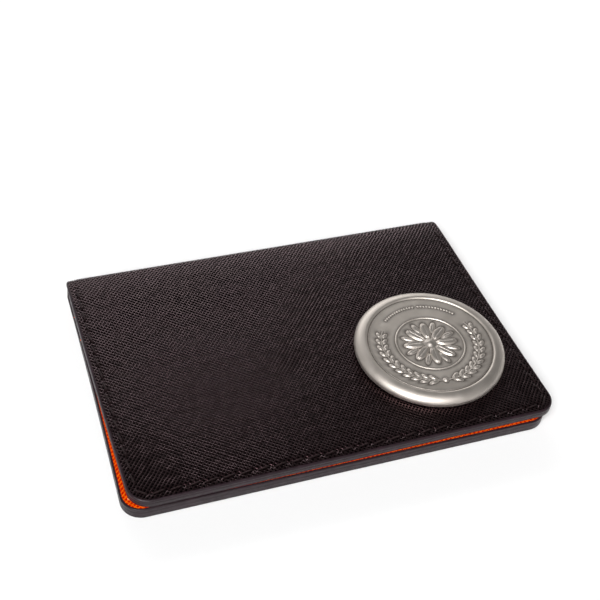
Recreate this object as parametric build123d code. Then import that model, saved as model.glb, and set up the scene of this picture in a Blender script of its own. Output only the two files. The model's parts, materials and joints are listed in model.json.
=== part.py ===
from build123d import *
import os

# Folding leather card holder, closed: outer leather, window panel with a card, two card pockets and a medallion.
# Units are millimetres. The origin is the centre of the closed holder's resting face. +X runs along the fold,
# +Y runs from the opening edge to the spine and +Z is up. The cover lies on the back, and both open about the
# spine strip.

# Driving dimensions of the closed holder
WIDTH = 105.0
DEPTH = 74.0
CORNER_RADIUS = 5.0

# Sheet thicknesses
LEATHER = 0.9
BOARD = 0.25
LINING = 0.25
POCKET_LEATHER = 0.55
FABRIC = 0.12
FILM = 0.12
CARD = 0.28
CARD_SLOT = 0.35
CLOSING_GAP = 0.26

# Edge coat, and how far each sheet stays inside the outline
COAT = 0.28
COAT_TAPER = 3.0
SHEET_INSET = 0.30
BOARD_INSET = 4.0

# Stitching
STITCH_INSET = 2.0
STITCH_PITCH = 4.0
STITCH_LENGTH = 2.9
THREAD_WIDTH = 0.5
THREAD_HEIGHT = 0.22
GROOVE_WIDTH = 1.0
GROOVE_DEPTH = 0.25
MOUTH_GAP = 0.6

# Window and the card behind it
WINDOW_WIDTH = 80.0
WINDOW_HEIGHT = 50.5
WINDOW_RADIUS = 4.0
WINDOW_EDGE_MARGIN = 10.0
FILM_OVERLAP = 4.0
CARD_WIDTH = 85.0
CARD_HEIGHT = 54.0

# Card pockets: distance of each mouth from the opening edge at its ends, and the thumb dip in its middle
FRONT_MOUTH = 54.5
REAR_MOUTH = 63.5
DIP_DEPTH = 5.4
DIP_HALF_WIDTH = 29.0
REAR_LEATHER_START = 26.0
FABRIC_LAP = 4.0

# Medallion
MEDAL_RADIUS = 19.0
MEDAL_THICKNESS = 3.0
MEDAL_X = 29.4
MEDAL_Y = -11.4
FIELD_DEPTH = 0.45
RIM_WIDTH = 3.8
FOOT_BEVEL = 0.5
WALL_HEIGHT = 1.2
SHOULDER_IN = 0.75
SHOULDER_DOWN = 0.55
CROWN_SLOPE = 1.1
PAD_RADIUS = 16.0
PAD_THICKNESS = 0.2

# Levels of the back, from the resting face upwards
BACK_BOARD_Z = LEATHER
BACK_LINING_Z = BACK_BOARD_Z + BOARD
REAR_SLOT_Z = BACK_LINING_Z + LINING
FABRIC_Z = REAR_SLOT_Z + CARD_SLOT
REAR_POCKET_Z = FABRIC_Z + FABRIC
FRONT_SLOT_Z = REAR_POCKET_Z + POCKET_LEATHER
FRONT_POCKET_Z = FRONT_SLOT_Z + CARD_SLOT
BACK_TOP_Z = FRONT_POCKET_Z + POCKET_LEATHER

# Levels of the cover, from its inner face upwards
WINDOW_PANEL_Z = BACK_TOP_Z + CLOSING_GAP
FILM_Z = WINDOW_PANEL_Z + POCKET_LEATHER
CARD_SLOT_Z = FILM_Z + FILM
COVER_LINING_Z = CARD_SLOT_Z + CARD_SLOT
COVER_BOARD_Z = COVER_LINING_Z + LINING
COVER_LEATHER_Z = COVER_BOARD_Z + BOARD
CLOSED_HEIGHT = COVER_LEATHER_Z + LEATHER

# How far each flat layer stops short of the fold
LEATHER_FOLD_GAP = 0.05
COAT_FOLD_GAP = 0.25
LINING_FOLD_GAP = 0.6
PANEL_FOLD_GAP = 4.1

# The spine strip stands at the far edge. Each fold line runs along the inner face of its leather.
NEAR_Y = -DEPTH / 2
FAR_Y = DEPTH / 2
SPINE_INNER_Y = FAR_Y - LEATHER
LEATHER_END_Y = SPINE_INNER_Y - LEATHER_FOLD_GAP
COAT_END_Y = SPINE_INNER_Y - COAT_FOLD_GAP
LINING_END_Y = SPINE_INNER_Y - LINING_FOLD_GAP
PANEL_END_Y = SPINE_INNER_Y - PANEL_FOLD_GAP
SPINE_LOW_Z = LEATHER
SPINE_HIGH_Z = CLOSED_HEIGHT - LEATHER
SPINE_LINING_MARGIN = 0.8
SPINE_STITCH_LENGTH = 2.4

# How far a cutting shape reaches past what it cuts
CUT_MARGIN = 1.0


def panel_outline(inset, end_y, height=1.0):
    """Flat panel with two rounded corners at the opening edge, inset from the outline and square at end_y."""
    width = WIDTH - 2 * inset
    depth = end_y - (NEAR_Y + inset)
    sheet = Pos(0, NEAR_Y + inset + depth / 2) * Rectangle(width, depth)
    near_corners = sheet.vertices().sort_by(Axis.Y)[:2]
    sheet = fillet(near_corners, CORNER_RADIUS - inset)
    return extrude(sheet, height)


def panel(inset, end_y, low_z, thickness):
    """A panel_outline at its level in the stack."""
    return Pos(0, 0, low_z) * panel_outline(inset, end_y, thickness)


def u_ring(outer_inset, inner_inset, end_y, low_z, thickness):
    """A band along the two sides and the opening edge, between two insets."""
    past_end = end_y + CUT_MARGIN
    return panel(outer_inset, end_y, low_z, thickness) - panel(inner_inset, past_end, low_z, thickness)


def groove(end_y, low_z):
    """The shallow channel that the stitches of a seam lie in."""
    half = GROOVE_WIDTH / 2
    return u_ring(STITCH_INSET - half, STITCH_INSET + half, end_y, low_z, GROOVE_DEPTH)


def pocket_sheet(low_y, mouth, low_z):
    """A pocket leather from low_y up to a mouth with a shallow thumb dip, before its corners are trimmed."""
    side = WIDTH / 2 - SHEET_INSET
    mouth_y = NEAR_Y + mouth
    dip_y = mouth_y - DIP_DEPTH
    half_dip = DIP_HALF_WIDTH / 2
    edges = [
        Line((-side, low_y), (side, low_y)),
        Line((side, low_y), (side, mouth_y)),
        Line((side, mouth_y), (DIP_HALF_WIDTH, mouth_y)),
        Bezier((DIP_HALF_WIDTH, mouth_y), (half_dip, mouth_y), (half_dip, dip_y), (0, dip_y)),
        Bezier((0, dip_y), (-half_dip, dip_y), (-half_dip, mouth_y), (-DIP_HALF_WIDTH, mouth_y)),
        Line((-DIP_HALF_WIDTH, mouth_y), (-side, mouth_y)),
        Line((-side, mouth_y), (-side, low_y)),
    ]
    return Pos(0, 0, low_z) * extrude(make_face(edges), POCKET_LEATHER)


def row(first, last):
    """Evenly spaced stitch centres between two ends, as near to the stitch pitch as fits."""
    count = max(1, round(abs(last - first) / STITCH_PITCH))
    step = (last - first) / count
    return [first + step * (i + 0.5) for i in range(count)]


def stitch(x, y, low_z, turn):
    """One visible stitch: a flat bar with round ends, turned about Z."""
    bar = extrude(SlotOverall(STITCH_LENGTH, THREAD_WIDTH), THREAD_HEIGHT)
    return Pos(x, y, low_z) * Rot(0, 0, turn) * bar


def side_stitches(first_y, last_y, low_z):
    """The stitches of both side seams between two distances along Y."""
    side = WIDTH / 2 - STITCH_INSET
    return [stitch(x, y, low_z, 90) for x in (-side, side) for y in row(first_y, last_y)]


def near_stitches(low_z):
    """The stitches along the opening edge, with one across each rounded corner."""
    corner_x = WIDTH / 2 - CORNER_RADIUS
    corner_y = NEAR_Y + CORNER_RADIUS
    seam_y = NEAR_Y + STITCH_INSET
    diagonal = (CORNER_RADIUS - STITCH_INSET) * 0.5**0.5
    corners = [
        stitch(sign * (corner_x + diagonal), corner_y - diagonal, low_z, sign * 45)
        for sign in (-1, 1)
    ]
    return corners + [stitch(x, seam_y, low_z, 0) for x in row(-corner_x, corner_x)]


def spine_plate(near_y, far_y, margin):
    """A strip standing along the spine, between the two fold lines less a margin at each."""
    height = SPINE_HIGH_Z - SPINE_LOW_Z - 2 * margin
    middle_y = (near_y + far_y) / 2
    return Pos(0, middle_y, CLOSED_HEIGHT / 2) * Box(WIDTH - 2 * SHEET_INSET, far_y - near_y, height)


def spine_stitches(low_y):
    """One upright stitch at each end of the spine strip."""
    side = WIDTH / 2 - STITCH_INSET
    bar = Box(THREAD_WIDTH, THREAD_HEIGHT, SPINE_STITCH_LENGTH)
    return [Pos(x, low_y + THREAD_HEIGHT / 2, CLOSED_HEIGHT / 2) * bar for x in (-side, side)]


def make_back():
    """The half that rests on the table: outer leather, board, lining and the two card pockets."""
    first_corner_y = NEAR_Y + CORNER_RADIUS
    front_mouth_y = NEAR_Y + FRONT_MOUTH
    rear_mouth_y = NEAR_Y + REAR_MOUTH
    rear_low_y = NEAR_Y + REAR_LEATHER_START
    fabric_end_y = rear_low_y + FABRIC_LAP
    groove_top = BACK_TOP_Z - GROOVE_DEPTH
    rear_groove_z = REAR_POCKET_Z + POCKET_LEATHER - GROOVE_DEPTH

    leather = panel(SHEET_INSET, LEATHER_END_Y, 0, LEATHER) - groove(LEATHER_END_Y, 0)
    front_pocket = pocket_sheet(NEAR_Y + SHEET_INSET, FRONT_MOUTH, FRONT_POCKET_Z)
    front_pocket &= panel(SHEET_INSET, FAR_Y, FRONT_POCKET_Z, POCKET_LEATHER)
    rear_pocket = pocket_sheet(rear_low_y, REAR_MOUTH, REAR_POCKET_Z)
    coat = u_ring(0, COAT, COAT_END_Y, 0, BACK_TOP_Z)
    inner_seam = near_stitches(groove_top)
    inner_seam += side_stitches(first_corner_y, front_mouth_y - MOUTH_GAP, groove_top)
    inner_seam += side_stitches(front_mouth_y + MOUTH_GAP, rear_mouth_y - MOUTH_GAP, rear_groove_z)
    inner_seam += side_stitches(rear_mouth_y + MOUTH_GAP, LINING_END_Y, REAR_SLOT_Z)
    outer_z = GROOVE_DEPTH - THREAD_HEIGHT
    outer_seam = near_stitches(outer_z) + side_stitches(first_corner_y, LINING_END_Y, outer_z)
    return {
        "back_outer_leather": leather,
        "back_board": panel(BOARD_INSET, LEATHER_END_Y - BOARD_INSET, BACK_BOARD_Z, BOARD),
        "back_lining": panel(SHEET_INSET, LINING_END_Y, BACK_LINING_Z, LINING),
        "rear_pocket_fabric": panel(SHEET_INSET, fabric_end_y, FABRIC_Z, FABRIC),
        "rear_pocket_leather": rear_pocket - groove(FAR_Y, rear_groove_z),
        "front_pocket_leather": front_pocket - groove(FAR_Y, groove_top),
        "back_edge_coat": coat - coat_relief(front_mouth_y, rear_mouth_y),
        "back_inner_stitching": Compound(children=inner_seam),
        "back_outer_stitching": Compound(children=outer_seam),
    }


def coat_relief(front_mouth_y, rear_mouth_y):
    """What the back's edge coat loses beyond the pocket mouths, where the stack steps down to the lining."""
    past = FAR_Y + CUT_MARGIN
    over = BACK_TOP_Z + CUT_MARGIN
    profile = Polyline(
        (front_mouth_y, BACK_TOP_Z),
        (rear_mouth_y, FRONT_SLOT_Z),
        (rear_mouth_y + COAT_TAPER, REAR_SLOT_Z),
        (past, REAR_SLOT_Z),
        (past, over),
        (front_mouth_y, over),
        close=True,
    )
    return extrude(Plane.YZ * make_face(profile), WIDTH, both=True)


def make_spine():
    """The strip between the two fold lines, with its lining, its ends' coat and its stitches."""
    outer = spine_plate(SPINE_INNER_Y, FAR_Y, 0)
    height = SPINE_HIGH_Z - SPINE_LOW_Z
    side = WIDTH / 2 - STITCH_INSET
    channel = Box(GROOVE_WIDTH, GROOVE_DEPTH, height)
    for x in (-side, side):
        outer -= Pos(x, FAR_Y - GROOVE_DEPTH / 2, CLOSED_HEIGHT / 2) * channel
    lining = spine_plate(SPINE_INNER_Y - LINING, SPINE_INNER_Y, SPINE_LINING_MARGIN)
    cap = Box(COAT, LEATHER, height)
    cap_x = (WIDTH - COAT) / 2
    cap_y = SPINE_INNER_Y + LEATHER / 2
    caps = [Pos(sign * cap_x, cap_y, CLOSED_HEIGHT / 2) * cap for sign in (-1, 1)]
    return {
        "spine_outer_leather": outer,
        "spine_lining": lining,
        "spine_edge_coat": Compound(children=caps),
        "spine_inner_stitching": Compound(children=spine_stitches(SPINE_INNER_Y - LINING - THREAD_HEIGHT)),
        "spine_outer_stitching": Compound(children=spine_stitches(FAR_Y - GROOVE_DEPTH)),
    }


def make_cover():
    """The half that opens: outer leather, board, lining, and the window panel with its clear film."""
    window_y = NEAR_Y + WINDOW_EDGE_MARGIN + WINDOW_HEIGHT / 2
    opening = RectangleRounded(WINDOW_WIDTH, WINDOW_HEIGHT, WINDOW_RADIUS)
    window = Pos(0, window_y, WINDOW_PANEL_Z) * extrude(opening, POCKET_LEATHER)
    film_sheet = RectangleRounded(
        WINDOW_WIDTH + 2 * FILM_OVERLAP, WINDOW_HEIGHT + 2 * FILM_OVERLAP, WINDOW_RADIUS
    )
    first_corner_y = NEAR_Y + CORNER_RADIUS
    outer_groove_z = CLOSED_HEIGHT - GROOVE_DEPTH
    inner_z = WINDOW_PANEL_Z + GROOVE_DEPTH - THREAD_HEIGHT
    inner_seam = near_stitches(inner_z)
    inner_seam += side_stitches(first_corner_y, PANEL_END_Y - MOUTH_GAP, inner_z)
    inner_seam += side_stitches(PANEL_END_Y + MOUTH_GAP, LINING_END_Y, COVER_LINING_Z - THREAD_HEIGHT)
    outer_seam = near_stitches(outer_groove_z)
    outer_seam += side_stitches(first_corner_y, LINING_END_Y, outer_groove_z)
    lining_coat = u_ring(0, COAT, COAT_END_Y, COVER_LINING_Z, CLOSED_HEIGHT - COVER_LINING_Z)
    panel_coat = u_ring(0, COAT, PANEL_END_Y, WINDOW_PANEL_Z, COVER_LINING_Z - WINDOW_PANEL_Z)
    leather = panel(SHEET_INSET, LEATHER_END_Y, COVER_LEATHER_Z, LEATHER)
    window_panel = panel(SHEET_INSET, PANEL_END_Y, WINDOW_PANEL_Z, POCKET_LEATHER) - window
    return {
        "cover_outer_leather": leather - groove(LEATHER_END_Y, outer_groove_z),
        "cover_board": panel(BOARD_INSET, LEATHER_END_Y - BOARD_INSET, COVER_BOARD_Z, BOARD),
        "cover_lining": panel(SHEET_INSET, LINING_END_Y, COVER_LINING_Z, LINING),
        "window_panel": window_panel - groove(FAR_Y, WINDOW_PANEL_Z),
        "window_film": Pos(0, window_y, FILM_Z) * extrude(film_sheet, FILM),
        "cover_edge_coat": lining_coat + panel_coat,
        "cover_inner_stitching": Compound(children=inner_seam),
        "cover_outer_stitching": Compound(children=outer_seam),
    }


def make_card():
    """The card shown in the window, resting in the middle of its slot."""
    window_y = NEAR_Y + WINDOW_EDGE_MARGIN + WINDOW_HEIGHT / 2
    card_z = CARD_SLOT_Z + (CARD_SLOT - CARD) / 2
    return {"display_card": Pos(0, window_y, card_z) * extrude(Rectangle(CARD_WIDTH, CARD_HEIGHT), CARD)}


def make_medallion():
    """A cast disc with a rounded edge, a raised rim and a sunk field, on a thin adhesive pad."""
    field_z = MEDAL_THICKNESS - FIELD_DEPTH
    rim_r = MEDAL_RADIUS - RIM_WIDTH
    foot_r = MEDAL_RADIUS - FOOT_BEVEL
    crown_r = rim_r + CROWN_SLOPE
    wall = (MEDAL_RADIUS, WALL_HEIGHT)
    crown = (crown_r, MEDAL_THICKNESS)
    shoulder = (MEDAL_RADIUS - SHOULDER_IN, MEDAL_THICKNESS - SHOULDER_DOWN)
    outline = [
        Polyline((0, 0), (foot_r, 0), (MEDAL_RADIUS, FOOT_BEVEL), wall),
        ThreePointArc(wall, shoulder, crown),
        Polyline(crown, (rim_r, field_z), (0, field_z), (0, 0)),
    ]
    disc = revolve(Plane.XZ * make_face(outline), Axis.Z)
    pad = Cylinder(PAD_RADIUS, PAD_THICKNESS, align=(Align.CENTER, Align.CENTER, Align.MIN))
    return {
        "medallion": Pos(MEDAL_X, MEDAL_Y, CLOSED_HEIGHT + PAD_THICKNESS) * disc,
        "medallion_adhesive_pad": Pos(MEDAL_X, MEDAL_Y, CLOSED_HEIGHT) * pad,
    }


def main():
    os.makedirs("parts", exist_ok=True)
    nodes = {**make_back(), **make_spine(), **make_cover(), **make_card(), **make_medallion()}
    for name, shape in nodes.items():
        export_step(shape, f"parts/{name}.step")
    print(f"closed height {CLOSED_HEIGHT:.3f} mm, {len(nodes)} nodes")


main()
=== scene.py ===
"""Looks of the folding card holder: dark leather outside, orange inside, window card and medallion.

Shapes are in millimetres in the row frame, from the sizes of the CAD nodes, and turned into metres when a
mesh is made. Each half's soft pieces share one small warp.
"""
import json
import math

import bpy
import numpy as np
from mathutils import Matrix, Vector


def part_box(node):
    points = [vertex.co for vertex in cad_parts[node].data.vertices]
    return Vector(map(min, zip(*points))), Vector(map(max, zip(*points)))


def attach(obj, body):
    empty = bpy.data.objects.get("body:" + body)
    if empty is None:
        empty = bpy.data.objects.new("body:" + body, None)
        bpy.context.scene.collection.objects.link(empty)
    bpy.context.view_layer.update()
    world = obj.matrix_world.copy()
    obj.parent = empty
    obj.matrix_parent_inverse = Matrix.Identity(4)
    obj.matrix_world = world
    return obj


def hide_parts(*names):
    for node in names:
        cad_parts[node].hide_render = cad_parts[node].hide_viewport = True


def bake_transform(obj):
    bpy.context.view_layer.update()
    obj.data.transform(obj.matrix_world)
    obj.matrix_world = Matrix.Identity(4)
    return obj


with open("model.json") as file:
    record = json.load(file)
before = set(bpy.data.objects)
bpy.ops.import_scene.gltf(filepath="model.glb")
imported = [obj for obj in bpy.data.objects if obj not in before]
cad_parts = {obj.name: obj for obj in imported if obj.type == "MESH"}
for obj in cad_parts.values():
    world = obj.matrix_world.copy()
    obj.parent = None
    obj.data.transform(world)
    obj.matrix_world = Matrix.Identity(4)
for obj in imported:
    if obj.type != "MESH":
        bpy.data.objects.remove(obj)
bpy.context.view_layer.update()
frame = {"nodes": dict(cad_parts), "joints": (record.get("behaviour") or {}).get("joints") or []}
rng = np.random.default_rng(7)
MM = 0.001
TAU = 2 * math.pi


def box(node):
    """Lowest and highest corner of a CAD node in millimetres."""
    return [[c / MM for c in corner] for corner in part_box(node)]


# Sizes read from the CAD nodes
(_, NEAR, _), (HALF, _, _) = box("back_edge_coat")
FAR = box("spine_outer_leather")[1][1]
HEIGHT = box("cover_outer_leather")[1][2]
LEATHER = box("back_outer_leather")[1][2]
BACK_LINING = box("back_lining")[1][2]
(_, REAR_START, REAR_LOW), (_, REAR_MOUTH, REAR_TOP) = box("rear_pocket_leather")
(_, _, FRONT_LOW), (_, FRONT_MOUTH, FRONT_TOP) = box("front_pocket_leather")
(_, _, PANEL_LOW), (_, PANEL_END, PANEL_TOP) = box("window_panel")
FILM_LOW, FILM_HIGH = box("window_film")
COVER_INNER = box("cover_outer_leather")[0][2]
CARD_LOW, CARD_HIGH = box("display_card")
MEDAL_LOW, MEDAL_HIGH = box("medallion")
FOLD = next(joint for joint in frame["joints"] if joint["name"] == "spine_fold")
PIVOT = np.array(FOLD["pos_m"][1:]) / MM
OPENING = math.radians(FOLD["range_deg"][1])

# Sizes of the soft shapes
CORNER = 5.0  # radius of the opening edge's corners
SEAM = 2.0  # from the edge to the seam
PITCH = 4.0  # from stitch to stitch
STITCH = 3.25  # length of a stitch
SLANT = 0.22  # how far a stitch's ends stand off the seam
HOLE = 0.14  # how deep a needle hole pulls the leather in
HOLE_RADIUS = 0.3
BEND = 2.0  # radius of each corner of the spine
BEND_Y = FAR - BEND
SOFT_END = 33.5  # where a half's skins meet the spine's
DROP_FROM = 24.0  # where the leather starts to ease in
DROP = 0.5  # how far the outer face eases in
INNER_DROP = 0.3  # share of it that reaches the inside
PULL = 0.5  # how far each end of the spine pulls in
LINING = 0.3
LINED = LEATHER + LINING
SKIN_INSET = 0.12  # from the painted edge to the leather
TUCK = 0.02  # from a hidden face to its neighbour
LIP = 0.12  # how far a cut edge is rounded off
DIP = 5.4  # depth of the wave in a pocket's mouth
DIP_HALF = 29.0  # half the width of that wave
FILM_LAP = 4.0  # how far the film runs on behind the panel
WINDOW_RADIUS = 4.0
CARD_PLAY = 0.065  # clear height over and under the card
MID_Z = HEIGHT / 2

# How each half leans and lifts at the opening edge
BACK_LEAN = 0.95
BACK_OUT = 0.35
COVER_LEAN = 0.75
COVER_LIFT = 0.5


def smooth(t):
    t = np.clip(t, 0.0, 1.0)
    return t * t * (3 - 2 * t)


# ---- warps
def fold_drop(y):
    """How far each half's leather eases towards the other near the spine."""
    t = np.clip((y - DROP_FROM) / (BEND_Y - DROP_FROM), 0, None)
    return DROP * np.where(t < 1, t**3, 3 * t - 2)


def kept_drop(depth):
    """Share of that ease at a depth below the outer face. The leather thins, so the inside moves less."""
    return 1 - (1 - INNER_DROP) * np.clip(depth / LEATHER, 0, 1)


def fold_pull(y):
    """Share of the width that the leather keeps round the spine."""
    return 1 - PULL / HALF * smooth((y - SOFT_END - 0.5) / 3.0)


def reach(y):
    """0 at the spine, 1 at the opening edge, squared so that it starts flat."""
    return np.clip((SOFT_END - y) / (SOFT_END - NEAR), 0, 1) ** 2


def warp_back(v):
    """The back leans to the left and out of the opening edge, as a soft folded spine lets it."""
    out = v.copy()
    t = reach(v[:, 1])
    out[:, 0] -= BACK_LEAN * t
    out[:, 1] -= BACK_OUT * t * (0.5 + 0.5 * v[:, 0] / HALF)
    out[:, 2] += fold_drop(v[:, 1]) * kept_drop(v[:, 2])
    return out


def warp_cover(v):
    """The cover leans to the right and lifts at its near right corner."""
    out = v.copy()
    t = reach(v[:, 1])
    out[:, 0] += COVER_LEAN * t
    out[:, 2] += COVER_LIFT * t * smooth(0.5 + 0.5 * v[:, 0] / HALF)
    out[:, 2] -= fold_drop(v[:, 1]) * kept_drop(HEIGHT - v[:, 2])
    return out


def unwarped(v):
    return v


# ---- meshes
def add_object(name, data):
    obj = bpy.data.objects.new(name, data)
    bpy.context.scene.collection.objects.link(obj)
    return obj


def settle(obj, body, node=None):
    """Puts a piece on its body and the CAD node that it replaces."""
    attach(obj, body)
    if node:
        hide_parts(node)


def add_mesh(name, verts, faces, look, uv, sharp=38, tone=None):
    """A smooth mesh with hard edges kept, from points and flat coordinates in millimetres."""
    mesh = bpy.data.meshes.new(name)
    mesh.from_pydata((np.asarray(verts, float) * MM).tolist(), [], faces)
    mesh.polygons.foreach_set("use_smooth", [True] * len(mesh.polygons))
    mesh.set_sharp_from_angle(angle=math.radians(sharp))
    index = np.empty(len(mesh.loops), int)
    mesh.loops.foreach_get("vertex_index", index)
    layer = mesh.uv_layers.new(name="UVMap")
    layer.data.foreach_set("uv", np.asarray(uv, np.float32)[index].ravel())
    if tone is not None:
        mesh.attributes.new("tone", "FLOAT", "POINT").data.foreach_set("value", np.asarray(tone, np.float32))
    mesh.validate()
    mesh.materials.append(look)
    return add_object(name, mesh)


def slab(name, xy, faces, top, bottom, look, warp, uv=None):
    """A closed sheet: one flat mesh at two heights, joined round its boundary."""
    n = len(xy)
    edges = {edge for f in faces for edge in zip(f, f[1:] + f[:1])}
    walls = sorted((a, a + n, b + n, b) for a, b in edges if (b, a) not in edges)
    both = faces + [tuple(i + n for i in reversed(f)) for f in faces] + walls
    verts = np.vstack([np.column_stack([xy, np.broadcast_to(z, n)]) for z in (top, bottom)])
    return add_mesh(name, warp(verts), both, look, np.vstack([xy if uv is None else uv] * 2))


def grid(x, y, z):
    """Points of a sheet, rows x columns x 3."""
    return np.stack(np.broadcast_arrays(x, y, z), axis=2)


def grid_faces(rows, columns, start=0):
    corners = [start + i * columns + j for i in range(rows - 1) for j in range(columns - 1)]
    return [(a, a + 1, a + columns + 1, a + columns) for a in corners]


def sheet(name, outer, inner, look, warp=unwarped, uv=None):
    """A closed sheet between two matching grids of points."""
    rows, columns = outer.shape[:2]
    n = rows * columns
    faces = grid_faces(rows, columns)
    faces += [tuple(reversed(f)) for f in grid_faces(rows, columns, n)]
    border = [(0, j) for j in range(columns)] + [(i, columns - 1) for i in range(1, rows)]
    border += [(rows - 1, j) for j in range(columns - 2, -1, -1)] + [(i, 0) for i in range(rows - 2, 0, -1)]
    loop = [i * columns + j for i, j in border]
    faces += [(a, a + n, b + n, b) for a, b in zip(loop, loop[1:] + loop[:1])]
    verts = np.vstack([outer.reshape(-1, 3), inner.reshape(-1, 3)])
    flat = verts[:, :2] if uv is None else np.vstack([uv.reshape(-1, 2)] * 2)
    return add_mesh(name, warp(verts), faces, look, flat)


def tube_faces(count, points, closed=False):
    """Faces of a tube stored ring by ring, with flat end caps unless it closes."""
    faces = []
    for i in range(count if closed else count - 1):
        a, b = i * points, (i + 1) % count * points
        faces += [(a + k, a + (k + 1) % points, b + (k + 1) % points, b + k) for k in range(points)]
    if not closed:
        faces += [tuple(reversed(range(points))), tuple(range((count - 1) * points, count * points))]
    return faces


def sweep(name, rings, look, warp, closed=False):
    """A tube through rings of points, of shape samples x points x 3."""
    count, points = rings.shape[:2]
    around = np.tile(np.arange(points) / points, count)
    uv = np.column_stack([0 * around, around])
    return add_mesh(name, warp(rings.reshape(-1, 3)), tube_faces(count, points, closed), look, uv)


def circle(points):
    return np.linspace(0, TAU, points, endpoint=False)


def join_meshes(parts):
    verts, faces, base = [], [], 0
    for v, f in parts:
        verts.append(v)
        faces += [tuple(i + base for i in q) for q in f]
        base += len(v)
    return np.vstack(verts), faces


def run_length(points):
    return np.concatenate([[0], np.cumsum(np.hypot(*np.diff(points, axis=0).T))])


# ---- outline of a half
RINGS = [SKIN_INSET, 0.2, 0.3, 0.42, 0.6, 0.9, 1.25, 1.5, 1.7, 1.85, 2.0, 2.15, 2.3, 2.5, 2.8, 3.3, 4.1]
NEAR_X = np.linspace(-(HALF - CORNER), HALF - CORNER, 141)
ARC = np.radians(np.linspace(180, 270, 14)[1:-1])
SIDE_STEP = 0.68


def side_y(end):
    return np.linspace(NEAR + CORNER, end, 1 + max(2, round((end - NEAR - CORNER) / SIDE_STEP)))


def u_path(inset, end):
    """Points down the left side, round the opening edge and up the right side, at an inset."""
    side, r = side_y(end), CORNER - inset
    left = np.column_stack([np.full(len(side), -(HALF - inset)), side[::-1]])
    arc = np.column_stack([-(HALF - CORNER) + r * np.cos(ARC), NEAR + CORNER + r * np.sin(ARC)])
    near = np.column_stack([NEAR_X, np.full(len(NEAR_X), NEAR + inset)])
    right = left[::-1] * (-1, 1)
    return np.vstack([left, arc, near, arc[::-1] * (-1, 1), right])


def rim_faces(n, left, near, right):
    """Faces between the rings along the free edges, and from the last ring to the core's three sides."""
    inner = [*left, *[near[0]] * len(ARC), *near, *[near[-1]] * len(ARC), *right]
    index = [range(j * n, (j + 1) * n) for j in range(len(RINGS))] + [inner]
    return [
        tuple(dict.fromkeys((a[i], a[i + 1], b[i + 1], b[i])))
        for a, b in zip(index, index[1:]) for i in range(n - 1)
    ]


def half_panel(end):
    """Flat mesh of one half: points, their distances from the free edges, and faces."""
    side = side_y(end)
    paths = [u_path(d, end) for d in RINGS]
    n, rows, columns = len(paths[0]), len(side), len(NEAR_X)
    base = n * len(RINGS)
    left = range(base, base + rows * columns, columns)
    right = range(base + columns - 1, base + rows * columns, columns)
    faces = rim_faces(n, left[::-1], range(base, base + columns), right)
    core = np.array([(x, y) for y in side for x in NEAR_X])
    core_d = np.minimum(HALF - np.abs(core[:, 0]), core[:, 1] - NEAR)
    d = np.concatenate([np.repeat(RINGS, n), core_d])
    return np.vstack(paths + [core]), d, faces + grid_faces(rows, columns, base)


# ---- seams
def seam_point(s):
    """Place and heading of the seam at a distance from the middle of the opening edge."""
    straight, r = HALF - CORNER, CORNER - SEAM
    bend = r * math.pi / 2
    side, t = (1, s) if s >= 0 else (-1, -s)
    if t <= straight:
        x, y, heading = t, NEAR + SEAM, 0.0
    elif t <= straight + bend:
        a = (t - straight) / r
        x, y, heading = straight + r * math.sin(a), NEAR + CORNER - r * math.cos(a), a
    else:
        x, y, heading = HALF - SEAM, NEAR + CORNER + t - straight - bend, math.pi / 2
    return side * x, y, heading * side


def seam_stitches():
    found, s = [], PITCH / 2
    while seam_point(s)[1] <= SOFT_END - STITCH / 2:
        found += [seam_point(s), seam_point(-s)]
        s += PITCH
    return found


STITCHES = seam_stitches()


def hole_depth(x, y, stitches=STITCHES):
    """How deep the needle holes pull the leather in."""
    depth = np.zeros(x.shape)
    for stitch_x, stitch_y, heading in stitches:
        c, s = math.cos(heading), math.sin(heading)
        for end in (-1, 1):
            dx = x - stitch_x - end * (STITCH / 2 * c - SLANT * s)
            dy = y - stitch_y - end * (STITCH / 2 * s + SLANT * c)
            near = np.abs(dx) + np.abs(dy) < 2.0
            depth[near] += HOLE * np.exp(-(dx[near] ** 2 + dy[near] ** 2) / HOLE_RADIUS**2)
    return depth


OUTER_FACE = {"arris": 0.42, "roll": 0.2}
INNER_FACE = {"arris": 0.24, "roll": 0.1}


def edge_depth(d, arris, roll, groove=0.13):
    """How far a face lies low near an edge: rounded arris, slope to the seam, seam groove."""
    inside = np.clip(arris - d, 0, arris)
    rounded = arris - np.sqrt(arris**2 - inside**2)
    return rounded + roll * smooth(1 - d / 3.4) + groove * np.exp(-(((d - SEAM) / 0.33) ** 2))


def lip_depth(away):
    return LIP * smooth(1 - away / 0.5)


# ---- shader helpers
def add_node(tree, kind, **settings):
    node = tree.nodes.new("ShaderNode" + kind)
    for name, value in settings.items():
        setattr(node, name, value)
    return node


def feed(tree, node, values):
    """Sets or links a node's inputs and returns its first output."""
    for key, value in values.items() if isinstance(values, dict) else enumerate(values):
        socket = node.inputs[key]
        if isinstance(value, bpy.types.NodeSocket):
            tree.links.new(value, socket)
        elif socket.type == "RGBA":
            socket.default_value = (*value, 1.0)
        else:
            socket.default_value = value
    return node.outputs[0] if len(node.outputs) else None


def blank(name):
    made = bpy.data.materials.new(name)
    made.use_nodes = True
    made.node_tree.nodes.clear()
    return made, made.node_tree, add_node(made.node_tree, "OutputMaterial")


def material(name):
    """A new material, its tree and its Principled shader."""
    made, tree, out = blank(name)
    shader = add_node(tree, "BsdfPrincipled")
    feed(tree, out, {"Surface": shader.outputs["BSDF"]})
    return made, tree, shader


def calc(tree, operation, *values):
    return feed(tree, add_node(tree, "Math", operation=operation), values)


def times(tree, a, b):
    return calc(tree, "MULTIPLY", a, b)


def mix(tree, factor, a, b):
    node = add_node(tree, "Mix", data_type="RGBA")
    feed(tree, node, {"Factor": factor, 6: a, 7: b})
    return node.outputs[2]


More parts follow.
